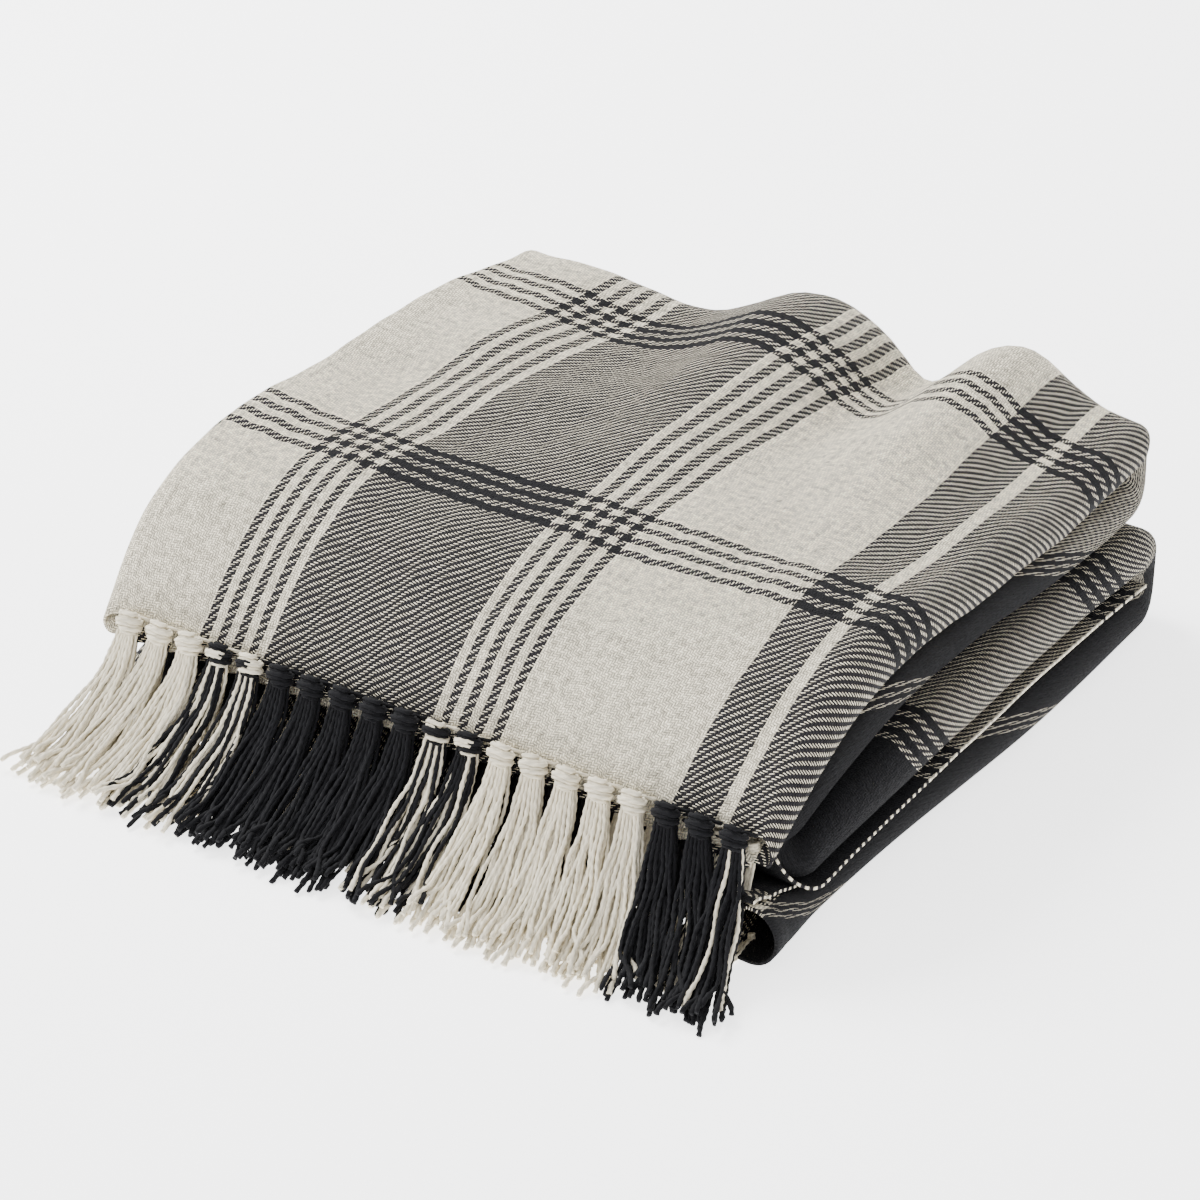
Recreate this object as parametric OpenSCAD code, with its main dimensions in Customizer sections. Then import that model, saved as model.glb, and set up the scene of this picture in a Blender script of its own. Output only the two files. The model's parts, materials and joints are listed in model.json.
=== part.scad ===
/* [Panel] */
// Width of the folded panel
fold_w = 444; // [364:1:536]
// Depth of the folded stack, from its front fold to its back folds
stack_d = 398; // [330:1:480]
// Height of the stack over its front fold
front_h = 92; // [78:1:104]
// Height of the stack where it is thickest
crown_h = 158; // [130:1:190]
// How far the stack drops again at its back folds
back_drop = 2; // [0:1:25]
// Distance from the front fold to where the stack is thickest
rise_len = 130; // [90:1:170]
// Air between two layers that lie on each other
layer_gap = 1.6; // [1:0.1:3]

/* [Top layer's front edge] */
// How far the top layer hangs out past the front fold
overhang = 22; // [18:1:34]
// Height of the edge above the floor
edge_z = 68; // [58:1:80]
// Thickness of the three plies at the edge
edge_t = 11; // [7:0.5:14]

/* [Bottom layer's front end] */
// How far the bottom layer reaches out past the front fold
foot_reach = 18; // [10:1:22]

/* [Tassels] */
// Radius of a tassel's knot
knot_r = 6.6; // [5:0.1:7.5]
// Width of a tassel's knot, as a share of the distance between two knots
knot_w = 0.7; // [0.5:0.01:0.85]
// Width of a tassel's skirt, as a share of the distance between two knots
skirt_w = 0.8; // [0.45:0.01:0.9]
// Thickness of a skirt at its knot
skirt_t = 8; // [5:0.5:9]
// Thickness of a skirt at its tips
tip_t = 5; // [3:0.5:6]
// How far a front tassel's tips lie in front of its knot
tip_reach = 82; // [62:1:99]
// Angle by which the outermost tassels fan out sideways
fan_angle = 13; // [0:1:20]
// Gap between a knot and the cloth's edge
knot_gap = 0.5; // [0.3:0.1:1.5]
// Distance from the panel's side to the middle of the outermost knots
side_margin = 20; // [14:1:30]

/* [Fringe behind the front row] */
// Width of one tassel there, as a share of the distance between two knots
back_skirt_w = 0.375; // [0.25:0.005:0.44]
// Thickness of one tassel there
back_skirt_t = 5; // [3:0.5:6]
// Radius of one knot there
back_knot_r = 4; // [3:0.1:4.5]
// Thickness of a tassel that lies on the floor
floor_skirt_t = 3; // [2:0.5:4]
// Width of a tassel that lies on the floor, as a share of the distance between two knots
floor_skirt_w = 0.26; // [0.18:0.01:0.29]

/* [Hidden] */

$fn = 32;
tassel_count = 20;
layers = 4;
steps = 12;          // points along one face of a layer
fold_steps = 10;     // points round one fold
skirt_steps = 8;     // points along a skirt

cream = [0.87, 0.85, 0.80];
charcoal = [0.16, 0.15, 0.17];
mixed = [0.45, 0.43, 0.42];

function clamp01(t) = max(0, min(1, t));
function smooth(t) = let (c = clamp01(t)) c * c * (3 - 2 * c);
function mix(a, b, t) = a + (b - a) * t;

// A point on a Bezier curve through four control points, and the curve's direction there
function bezier(p, t) =
    pow(1 - t, 3) * p[0] + 3 * t * pow(1 - t, 2) * p[1]
    + 3 * t * t * (1 - t) * p[2] + pow(t, 3) * p[3];
function bezier_run(p, t) =
    3 * pow(1 - t, 2) * (p[1] - p[0]) + 6 * t * (1 - t) * (p[2] - p[1])
    + 3 * t * t * (p[3] - p[2]);
function left_of(v) = [-v[1], v[0]] / norm(v);

// One face of a skirt that follows curve p and thins from t0 to t1; side is 1 or -1
function skirt_face(p, t0, t1, side) = [for (i = [0:skirt_steps]) let (t = i / skirt_steps)
    bezier(p, t) + left_of(bezier_run(p, t)) * side * mix(t0, t1, t) / 2];

// A front tassel hangs from its knot, then runs forward to the floor
hang_curve = [[0, 0], [-5, -34], [-tip_reach * 0.47, -edge_z * 0.62],
    [-tip_reach + tip_t / 2, -edge_z + tip_t / 2 + 0.6]];
tip_y = min([for (side = [-1, 1]) for (q = skirt_face(hang_curve, skirt_t, tip_t, side)) q[0]]);

pitch = (fold_w - 2 * side_margin) / (tassel_count - 1);

// How far a front tassel reaches back from its hinge line: its knot, or the rear corner of a fanned skirt
tassel_back = max(knot_r, skirt_t / 2 * cos(fan_angle) + skirt_w * pitch / 2 * sin(fan_angle));

// The tips of the front tassels and the back folds are equally far from the origin.
total_d = stack_d + overhang + knot_gap + tassel_back - tip_y;
front_y = total_d / 2 - stack_d;
back_y = total_d / 2;
edge_y = front_y - overhang;
knot_y = edge_y - knot_gap - tassel_back;
fold_depth = crown_h / layers / 2 + layer_gap;

// Height of the whole stack at a depth y: steep at the front, then level, with a slight drop at the back
function stack_h(y) =
    front_h
    + (crown_h - front_h) * (1 - pow(1 - clamp01((y - front_y) / rise_len), 2))
    - back_drop * smooth((y - front_y - rise_len) / (stack_d - rise_len));

// Lower and upper face of layer n, with layer 0 on the floor
function layer_low(n, y) = stack_h(y) * n / layers + (n == 0 ? 0 : layer_gap / 2);
function layer_high(n, y) = stack_h(y) * (n + 1) / layers - layer_gap / 2;

function y_at(i, y0, y1) = mix(y0, y1, i / steps);

fold_y_back = back_y - fold_depth * 2;
fold_y_front = front_y + fold_depth;

// Points along the lower or the upper face of layer n, from depth y0 to depth y1
function low_face(n, y0, y1) = [for (i = [0:steps]) let (y = y_at(i, y0, y1)) [y, layer_low(n, y)]];
function high_face(n, y0, y1) = [for (i = [0:steps]) let (y = y_at(i, y0, y1)) [y, layer_high(n, y)]];

// Points round a fold at depth y, from height z0 to height z1, without the ends that its layers already have
function fold_face(y, reach, z0, z1) = [for (i = [1:fold_steps - 1]) let (a = 180 * i / fold_steps)
    [y + reach * sin(a), (z0 + z1) / 2 - (z1 - z0) / 2 * cos(a)]];

// The outer and the inner face of a fold that joins layer n to layer n + 1
function outer_fold(n, y, reach) = fold_face(y, reach, layer_low(n, y), layer_high(n + 1, y));
function inner_fold(n, y, reach) = fold_face(y, reach, layer_high(n, y), layer_low(n + 1, y));
function backwards(p) = [for (i = [len(p) - 1:-1:0]) p[i]];

// The top layer's front part hangs over the front fold and thins to three plies at its edge
hang_y = fold_y_front + 6;
hang_run = edge_y - hang_y;
hang_top = [
    [hang_y, layer_high(3, hang_y)],
    [hang_y + hang_run * 0.4, layer_high(3, hang_y) + hang_run * 0.22],
    [edge_y + 8, edge_z + edge_t / 2 + 4],
    [edge_y, edge_z + edge_t / 2 - 1]
];
hang_low = [
    [hang_y, layer_low(3, hang_y)],
    [hang_y + hang_run * 0.4, layer_high(2, fold_y_front) + layer_gap],
    [edge_y + 8, edge_z - edge_t / 2 + 1],
    [edge_y, edge_z - edge_t / 2 + 1]
];
function hang_face(p) = [for (i = [1:fold_steps]) bezier(p, i / fold_steps)];

// The whole cloth seen from the side, as one line that runs along its outer face and back along its inner one
module panel_outline() {
    foot_y = front_y - foot_reach;
    back_reach = fold_depth * 2;
    polygon(concat(
        low_face(0, foot_y, fold_y_back),
        outer_fold(0, fold_y_back, back_reach),
        high_face(1, fold_y_back, fold_y_front),
        inner_fold(1, fold_y_front, -layer_gap),
        low_face(2, fold_y_front, fold_y_back),
        outer_fold(2, fold_y_back, back_reach),
        high_face(3, fold_y_back, hang_y),
        hang_face(hang_top),
        backwards(hang_face(hang_low)),
        low_face(3, hang_y, fold_y_back),
        backwards(inner_fold(2, fold_y_back, layer_gap)),
        high_face(2, fold_y_back, fold_y_front),
        backwards(outer_fold(1, fold_y_front, -fold_depth)),
        low_face(1, fold_y_front, fold_y_back),
        backwards(inner_fold(0, fold_y_back, layer_gap)),
        high_face(0, fold_y_back, foot_y)
    ));
}

// Turns an outline drawn in depth and height into a solid of width w, centred on x
module across(x, w) {
    translate([x - w / 2, 0, 0])
        rotate([90, 0, 90])
            linear_extrude(w) children();
}

module woven_panel() {
    color(cream) across(0, fold_w) panel_outline();
}

// A knot: a barrel along the line that its tassel swings about
module knot(r, w) {
    waist = r * 0.72;
    rotate([0, 90, 0])
        rotate_extrude()
            polygon([[0, -w / 2], [waist, -w / 2], [r, -w / 4], [r, w / 4], [waist, w / 2], [0, w / 2]]);
}

// Side view of a skirt that follows a Bezier curve and thins from t0 to t1
module skirt_outline(p, t0, t1) {
    front = skirt_face(p, t0, t1, 1);
    rear = skirt_face(p, t0, t1, -1);
    polygon(concat(front, [for (i = [skirt_steps:-1:0]) rear[i]]));
}

// Front tassel k of the row, with its knot on the hinge line
module tassel(k) {
    x = (k - (tassel_count + 1) / 2) * pitch;
    fan = fan_angle * x / (fold_w / 2 - side_margin);
    translate([x, knot_y, edge_z]) {
        knot(knot_r, knot_w * pitch);
        rotate([0, 0, fan]) across(0, skirt_w * pitch) skirt_outline(hang_curve, skirt_t, tip_t);
    }
}

function tassel_colour(k) =
    k <= 3 ? cream : k <= 5 ? mixed : k <= 10 ? charcoal : k <= 12 ? mixed : k <= 17 ? cream : charcoal;

module coloured_tassel(k) {
    color(tassel_colour(k)) tassel(k);
}

// A row of simple tassels behind the front row; offset moves the whole row sideways
module hidden_row(offset, curve, w, t0, t1, r) {
    for (k = [1:tassel_count]) {
        x = (k - (tassel_count + 1) / 2) * pitch + offset;
        translate([x, curve[0][0], curve[0][1]]) knot(r, w);
        across(x, w) skirt_outline(curve, t0, t1);
    }
}

// The two lower plies of the top layer end a little behind the upper one
module upper_row(offset) {
    z = edge_z - edge_t / 2 - back_knot_r - knot_gap - 1.5;
    y = knot_y + skirt_t / 2 + back_knot_r + 4.1;
    curve = [[y, z], [y - 4, z - 24], [y - 24, 14], [edge_y - tip_reach * 0.8, floor_skirt_t + 4.5]];
    hidden_row(offset, curve, back_skirt_w * pitch, back_skirt_t, floor_skirt_t, back_knot_r);
}

// The bottom layer's end lies on the floor, and its tassels lie flat in front of it
module lower_row(offset) {
    r = floor_skirt_t / 2 + 1;
    y = front_y - foot_reach - knot_gap - r;
    z = floor_skirt_t / 2;
    curve = [[y, r], [y - 10, z], [y - 22, z], [edge_y - tip_reach * 0.67, z]];
    hidden_row(offset, curve, floor_skirt_w * pitch, floor_skirt_t, floor_skirt_t, r);
}

module upper_fringe_middle_ply() { color(charcoal) upper_row(-pitch / 4); }
module upper_fringe_inner_ply() { color(cream) upper_row(pitch / 4); }
module lower_fringe_outer_ply() { color(charcoal) lower_row(-pitch / 3); }
module lower_fringe_middle_ply() { color(mixed) lower_row(0); }
module lower_fringe_inner_ply() { color(cream) lower_row(pitch / 3); }

woven_panel();
coloured_tassel(1);  // tassel_01
coloured_tassel(2);  // tassel_02
coloured_tassel(3);  // tassel_03
coloured_tassel(4);  // tassel_04
coloured_tassel(5);  // tassel_05
coloured_tassel(6);  // tassel_06
coloured_tassel(7);  // tassel_07
coloured_tassel(8);  // tassel_08
coloured_tassel(9);  // tassel_09
coloured_tassel(10);  // tassel_10
coloured_tassel(11);  // tassel_11
coloured_tassel(12);  // tassel_12
coloured_tassel(13);  // tassel_13
coloured_tassel(14);  // tassel_14
coloured_tassel(15);  // tassel_15
coloured_tassel(16);  // tassel_16
coloured_tassel(17);  // tassel_17
coloured_tassel(18);  // tassel_18
coloured_tassel(19);  // tassel_19
coloured_tassel(20);  // tassel_20
upper_fringe_middle_ply();
upper_fringe_inner_ply();
lower_fringe_outer_ply();
lower_fringe_middle_ply();
lower_fringe_inner_ply();
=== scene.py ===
"""Looks of a woven throw, folded into a soft stack, with knotted tassels along its front edge.

Everything is in metres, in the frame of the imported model: +X runs along the tassels, +Y runs from
the tassels to the back folds, and the floor is at Z = 0.
"""

import json
import logging
import math
from dataclasses import dataclass, field
from enum import Enum

import bpy
import numpy as np
from mathutils import Matrix, Vector


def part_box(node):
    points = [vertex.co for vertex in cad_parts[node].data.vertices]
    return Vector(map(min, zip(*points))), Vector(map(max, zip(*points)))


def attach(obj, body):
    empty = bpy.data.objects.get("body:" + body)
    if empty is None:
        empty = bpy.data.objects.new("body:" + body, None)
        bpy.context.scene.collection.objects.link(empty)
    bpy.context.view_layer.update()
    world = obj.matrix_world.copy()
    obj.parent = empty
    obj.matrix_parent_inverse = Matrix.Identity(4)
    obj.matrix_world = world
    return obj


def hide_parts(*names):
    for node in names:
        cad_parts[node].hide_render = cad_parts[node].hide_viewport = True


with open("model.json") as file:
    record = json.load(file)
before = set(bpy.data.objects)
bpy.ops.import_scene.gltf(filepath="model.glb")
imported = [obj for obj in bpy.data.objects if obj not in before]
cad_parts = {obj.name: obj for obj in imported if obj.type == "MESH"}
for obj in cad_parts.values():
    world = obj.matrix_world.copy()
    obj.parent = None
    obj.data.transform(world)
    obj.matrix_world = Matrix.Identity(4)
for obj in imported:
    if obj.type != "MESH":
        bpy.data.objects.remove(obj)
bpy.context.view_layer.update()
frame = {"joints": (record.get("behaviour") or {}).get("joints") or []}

logging.basicConfig(level=logging.INFO, format="%(message)s")
log = logging.getLogger("throw")

Array = np.ndarray
Socket = bpy.types.NodeSocket
Piece = bpy.types.Object
Material = bpy.types.Material
Pair = tuple[float, float]
Triple = tuple[float, float, float]
Four = tuple[float, float, float, float]

UP = np.array([0.0, 0.0, 1.0])


# ---- small helpers


def smooth(t: Array) -> Array:
    """Eases from 0 to 1 as t goes from 0 to 1."""
    c = np.clip(t, 0.0, 1.0)
    return c * c * (3.0 - 2.0 * c)


def bell(t: Array) -> Array:
    """A bell that is 1 at t = 0 and nearly 0 at t = 2."""
    return np.exp(-t * t)


def unit(v: Array) -> Array:
    """Scales each row of v to length 1."""
    return v / np.maximum(np.linalg.norm(v, axis=-1, keepdims=True), 1e-12)


def bezier(points: Array, t: Array) -> Array:
    """Points on a cubic Bezier curve with four control points, one a row, at each t from 0 to 1."""
    t = t[:, None]
    a, b, c, d = points
    return (1 - t) ** 3 * a + 3 * t * (1 - t) ** 2 * b + 3 * t * t * (1 - t) * c + t**3 * d


def place_across(k: int, count: int) -> float:
    """Where yarn k of a flat bundle lies across it, from -1 to 1."""
    return (k + 0.5) / count * 2 - 1


def new_object(name: str, mesh: bpy.types.Mesh) -> Piece:
    """Links a mesh into the scene as a piece of that name."""
    piece = bpy.data.objects.new(name, mesh)
    bpy.context.scene.collection.objects.link(piece)
    return piece


def shade_smooth(mesh: bpy.types.Mesh) -> None:
    """Shades every face of the mesh smooth."""
    mesh.polygons.foreach_set("use_smooth", np.ones(len(mesh.polygons), bool))
    mesh.update()


# ---- shader helpers


@dataclass(frozen=True)
class Grain:
    """A soft irregularity: how fine it is, how rough, and how much it changes."""

    scale: float
    detail: float
    amount: float


class Nodes:
    """Adds nodes to one node tree, and joins them up with short calls."""

    def __init__(self, tree: bpy.types.NodeTree) -> None:
        """Keeps the tree that the nodes go into."""
        self.tree = tree

    def fill(self, node: bpy.types.Node, values: dict[str, object]) -> None:
        """Puts each value or socket into the node's input of that name."""
        for name, value in values.items():
            self.put(value, node.inputs[name])

    def add(self, kind: str, **settings: object) -> bpy.types.Node:
        """Adds a node of that kind, and sets its properties."""
        node = self.tree.nodes.new(kind)
        for name, value in settings.items():
            setattr(node, name, value)
        return node

    def put(self, value: object, socket: Socket) -> None:
        """Joins a socket to the input, or sets the input to a plain value."""
        if isinstance(value, Socket):
            self.tree.links.new(value, socket)
        else:
            socket.default_value = value

    def math(self, operation: str, *values: object) -> Socket:
        """The output of a Math node, with sockets or numbers for its inputs."""
        node = self.add("ShaderNodeMath", operation=operation)
        for value, socket in zip(values, node.inputs):
            self.put(value, socket)
        return node.outputs[0]

    def mix(self, factor: object, a: object, b: object) -> Socket:
        """Mixes two colours."""
        node = self.add("ShaderNodeMix", data_type="RGBA")
        self.put(factor, node.inputs[0])
        self.put(a, node.inputs[6])
        self.put(b, node.inputs[7])
        return node.outputs[2]

    def blend(self, factor: object, a: object, b: object) -> Socket:
        """Mixes two numbers."""
        node = self.add("ShaderNodeMix", data_type="FLOAT")
        self.put(factor, node.inputs[0])
        self.put(a, node.inputs[2])
        self.put(b, node.inputs[3])
        return node.outputs[0]

    def grain(self, vector: object, kind: Grain) -> Socket:
        """A noise value about 0.5, as fine and as rough as that grain."""
        node = self.add("ShaderNodeTexNoise")
        self.fill(node, {"Vector": vector, "Scale": kind.scale, "Detail": kind.detail})
        return node.outputs["Fac"]

    def stray(self, value: object, noise: object, amount: float) -> Socket:
        """Adds a noise value's distance from 0.5 to a value, times an amount."""
        return self.math("ADD", value, self.math("MULTIPLY", self.math("SUBTRACT", noise, 0.5), amount))

    def shade(self, colour: object, amount: object) -> Socket:
        """Multiplies a colour by a number."""
        node = self.add("ShaderNodeVectorMath", operation="SCALE")
        self.put(colour, node.inputs[0])
        self.put(amount, node.inputs["Scale"])
        return node.outputs[0]


def new_group(name: str, inputs: dict[str, str], outputs: dict[str, str]) -> tuple[Nodes, object, object]:
    """Starts a shader node group.

    Args:
        name: the group's name.
        inputs: each input's name and kind, such as "Float", "Vector" or "Color".
        outputs: each output's name and kind.

    Returns:
        The helper for its tree, its input node and its output node.
    """
    tree = bpy.data.node_groups.new(name, "ShaderNodeTree")
    for side, sockets in (("INPUT", inputs), ("OUTPUT", outputs)):
        for label, kind in sockets.items():
            tree.interface.new_socket(label, in_out=side, socket_type="NodeSocket" + kind)
    nodes = Nodes(tree)
    return nodes, nodes.add("NodeGroupInput"), nodes.add("NodeGroupOutput")


def new_material(name: str) -> tuple[Material, Nodes, bpy.types.Node]:
    """Starts a material of that name, with the helper for its tree and its Principled BSDF node."""
    made = bpy.data.materials.new(name)
    made.use_nodes = True
    return made, Nodes(made.node_tree), made.node_tree.nodes["Principled BSDF"]


# ---- the stripes


class Tone(Enum):
    """The tone of a run of yarns."""

    CREAM = "cream"
    DARK = "dark"
    PINS = "pins"


@dataclass(frozen=True)
class Run:
    """A run of yarns of one tone, counted in yarns."""

    tone: Tone
    count: int


PIN = 4
PINS = 4
PIN_RUN = (2 * PINS - 1) * PIN


def runs(text: str) -> tuple[Run, ...]:
    """Reads a warping order such as "c44 p d82", where c is cream, d is dark and p is a group of pins."""
    letters = {"c": Tone.CREAM, "d": Tone.DARK, "p": Tone.PINS}
    return tuple(Run(letters[w[0]], int(w[1:] or PIN_RUN)) for w in text.split())


@dataclass(frozen=True)
class StripePlan:
    """The order of the yarns across one direction of the cloth."""

    order: tuple[Run, ...]

    def dark_runs(self) -> list[tuple[int, int]]:
        """Every dark stripe and every dark pin, as its first yarn and its count."""
        found, at = [], 0
        for run in self.order:
            if run.tone is Tone.DARK:
                found.append((at, run.count))
            if run.tone is Tone.PINS:
                found += [(at + 2 * PIN * k, PIN) for k in range(PINS)]
            at += run.count
        return found

    def dark_share(self, first: float, last: float) -> float:
        """The share of dark yarns between two places, counted in yarns."""
        inside = [max(0.0, min(last, at + count) - max(first, at)) for at, count in self.dark_runs()]
        return sum(inside) / (last - first)

    def mask(self, nodes: Nodes, yarn: Socket) -> Socket:
        """Nodes that put out 1 where the yarn of that number is dark."""
        total = None
        for first, count in self.dark_runs():
            hit = nodes.math("COMPARE", yarn, first + (count - 1) / 2, count / 2)
            total = hit if total is None else nodes.math("ADD", total, hit)
        return total


WARP = StripePlan(runs(
    "c44 p c4 d82 c4 p c80 d20 c6 d36 c72 p c4 d82 c4 p c80 d20 c6 d24 c84 p c4 d76 c34 d22"
))
WEFT = StripePlan(runs(
    "c95 p c127 p c108 p d93 p d157 p c121 p c38 d107 p d129 p d150"
))


# ---- finishes


@dataclass(frozen=True)
class Dye:
    """The two colours that all the yarn is spun in, in linear light."""

    cream: Four = (0.86, 0.785, 0.615, 1.0)
    dark: Four = (0.017, 0.0155, 0.018, 1.0)
    brushed: Four = (0.0055, 0.0055, 0.0070, 1.0)


@dataclass(frozen=True)
class Twill:
    """The cloth's weave: each yarn goes over two and under two, one step further in each row.

    The pairs of numbers are a slope and a start, so that a pair (a, b) makes a value v into a * v + b.
    """

    pitch: float = 0.0014
    repeat: float = 4.0
    cream_width: float = 0.38
    dye: Dye = Dye()
    wander: Grain = Grain(160.0, 1.0, 0.7)
    fibre: Grain = Grain(900.0, 3.0, 0.34)
    cloud: Grain = Grain(9.0, 3.0, 0.26)
    nap: Grain = Grain(210.0, 2.0, 1.2)
    weft_seed: float = 0.37
    slub_tone: Pair = (0.40, 0.76)
    # painted shade: slope and start of the darkening of the colour where the weave lies low, crowns kept
    # light
    painted_hollow_shade: Pair = (0.86, 0.34)
    dark_fibres: Pair = (0.6, 0.55)
    dark_tufts: Pair = (1.6, 0.5)
    dark_weave: Pair = (-0.55, 1.0)

    def group(self) -> bpy.types.NodeTree:
        """The node group that turns a place on the flat cloth into its colour, with painted shade in the
        weave's hollows, and its relief.
        """
        known = bpy.data.node_groups.get("twill_weave")
        if known:
            return known
        n, gin, gout = new_group(
            "twill_weave", {"Cloth": "Vector"}, {"Color": "Color", "Height": "Float", "Fuzz": "Float"}
        )
        cloth = gin.outputs["Cloth"]
        place = n.add("ShaderNodeSeparateXYZ")
        n.put(cloth, place.inputs[0])
        drift = n.math("MULTIPLY", n.math("SUBTRACT", n.grain(cloth, self.wander), 0.5), self.wander.amount)
        u, v = (n.math("ADD", n.math("DIVIDE", place.outputs[k], self.pitch), drift) for k in (0, 1))
        warp, weft = n.math("FLOOR", u), n.math("FLOOR", v)
        fu, fv = n.math("FRACT", u), n.math("FRACT", v)
        step = n.math("FLOORED_MODULO", n.math("SUBTRACT", warp, weft), self.repeat)
        warp_up = n.math("LESS_THAN", step, self.repeat / 2 - 0.5)
        along_warp = n.math("SUBTRACT", step, fv)
        along_weft = n.math("ADD", step, n.math("SUBTRACT", fu, self.repeat - 1.0))
        warp_h = n.math("MULTIPLY", self.crown(n, fu), self.float_arc(n, along_warp))
        weft_h = n.math("MULTIPLY", self.crown(n, fv), self.float_arc(n, along_weft))
        height = n.blend(warp_up, weft_h, warp_h)
        dark_warp, dark_weft = WARP.mask(n, warp), WEFT.mask(n, weft)
        both = n.math("MULTIPLY", dark_warp, dark_weft)
        beside_dark = n.math("ABSOLUTE", n.math("SUBTRACT", dark_warp, dark_weft))
        off_middle = n.math("ABSOLUTE", n.math("MULTIPLY_ADD", n.blend(warp_up, fv, fu), 2.0, -1.0))
        covered = n.math("MULTIPLY", beside_dark, n.math("GREATER_THAN", off_middle, self.cream_width))
        dark = n.math("MAXIMUM", n.blend(warp_up, dark_weft, dark_warp), covered)
        fibre, nap = n.grain(cloth, self.fibre), n.grain(cloth, self.nap)
        tone = self.tone(n, n.blend(warp_up, n.math("ADD", weft, self.weft_seed), warp))
        tone = n.stray(tone, fibre, self.fibre.amount)
        tone = n.stray(tone, n.grain(cloth, self.cloud), self.cloud.amount)
        tone = n.stray(tone, nap, self.nap.amount)
        # each yarn's own tone times painted shade from its height: the colour darkens in the weave's hollows
        # and at float ends
        light = n.math("MULTIPLY", tone, n.math("MULTIPLY_ADD", height, *self.painted_hollow_shade))
        deep = n.mix(both, self.dye.dark, self.dye.brushed)
        colour = n.mix(n.math("MINIMUM", dark, 1.0), self.dye.cream, deep)
        n.put(n.shade(colour, light), gout.inputs["Color"])
        soft = n.math("MULTIPLY", fibre, n.math("MULTIPLY_ADD", both, *self.dark_fibres))
        tufts = n.math("MULTIPLY", nap, n.math("MULTIPLY_ADD", both, *self.dark_tufts))
        woven = n.math("MULTIPLY", height, n.math("MULTIPLY_ADD", both, *self.dark_weave))
        n.put(n.math("ADD", n.math("ADD", woven, tufts), soft), gout.inputs["Height"])
        n.put(both, gout.inputs["Fuzz"])
        return n.tree

    def tone(self, n: Nodes, yarn: Socket) -> Socket:
        """A lightness of its own for each yarn, from the yarn's number."""
        slub = n.add("ShaderNodeTexWhiteNoise", noise_dimensions="1D")
        n.put(yarn, slub.inputs["W"])
        return n.math("MULTIPLY_ADD", slub.outputs["Value"], *self.slub_tone)

    @staticmethod
    def crown(n: Nodes, across: Socket) -> Socket:
        """The round back of a yarn, from its place across the yarn, 0 to 1."""
        side = n.math("MULTIPLY_ADD", across, 2.0, -1.0)
        left = n.math("SUBTRACT", 1.0, n.math("MULTIPLY", side, side))
        return n.math("SQRT", n.math("MAXIMUM", left, 0.0))

    @staticmethod
    def float_arc(n: Nodes, along: Socket) -> Socket:
        """How a yarn that lies on top dips at both ends of its float, with along from -1 to 1."""
        return n.math("MULTIPLY_ADD", n.math("MULTIPLY", along, along), -0.45, 1.0)


@dataclass(frozen=True)
class Ply:
    """Plied cotton yarn: its dye, its fibres and its twist, with pairs as in Twill."""

    dye: Dye = Dye()
    twist: Pair = (900.0, 12.566)
    fibre: Grain = Grain(700.0, 3.0, 0.35)
    own_tone: Pair = (0.22, 0.80)
    # painted shade: slope and start of the darkening of the colour in the groove between the two plies
    painted_groove_shade: Pair = (0.2, 0.82)

    def group(self) -> bpy.types.NodeTree:
        """The node group that turns a place along a yarn into its colour, with painted shade in the groove
        between the plies, and its relief.
        """
        known = bpy.data.node_groups.get("plied_yarn")
        if known:
            return known
        inputs = {"Along": "Vector", "Darkness": "Float", "Tone": "Float"}
        n, gin, gout = new_group("plied_yarn", inputs, {"Color": "Color", "Height": "Float"})
        along = gin.outputs["Along"]
        place = n.add("ShaderNodeSeparateXYZ")
        n.put(along, place.inputs[0])
        turns = [n.math("MULTIPLY", *pair) for pair in zip(place.outputs, self.twist)]
        twist = n.math("MULTIPLY_ADD", n.math("SINE", n.math("ADD", *turns)), 0.5, 0.5)
        fibre = n.grain(along, self.fibre)
        tone = n.math("MULTIPLY_ADD", gin.outputs["Tone"], *self.own_tone)
        tone = n.stray(tone, fibre, self.fibre.amount)
        # painted shade: the colour darkens where the twist puts the groove between the plies
        tone = n.math("MULTIPLY", tone, n.math("MULTIPLY_ADD", twist, *self.painted_groove_shade))
        colour = n.mix(gin.outputs["Darkness"], self.dye.cream, self.dye.brushed)
        n.put(n.shade(colour, tone), gout.inputs["Color"])
        n.put(n.math("ADD", twist, fibre), gout.inputs["Height"])
        return n.tree


@dataclass(frozen=True)
class CottonFinish:
    """What the cotton finishes share: a matt surface with a faint sheen, over a bumped relief."""

    name: str
    roughness: float = 0.9
    sheen: float = 0.02
    sheen_roughness: float = 0.5
    specular: float = 0.2
    bump_strength: float = 0.5
    relief: float = 0.0003

    def surface(self, n: Nodes, shader: bpy.types.Node, look: bpy.types.Node, roughness: object) -> None:
        """Sets up the shader from the node group that gives the colour and the height."""
        height = look.outputs["Height"]
        bump = n.add("ShaderNodeBump")
        n.fill(bump, {"Strength": self.bump_strength, "Distance": self.relief, "Height": height})
        n.fill(shader, {
            "Base Color": look.outputs["Color"], "Normal": bump.outputs[0], "Roughness": roughness,
            "Sheen Weight": self.sheen, "Sheen Roughness": self.sheen_roughness,
            "Specular IOR Level": self.specular,
        })


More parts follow.
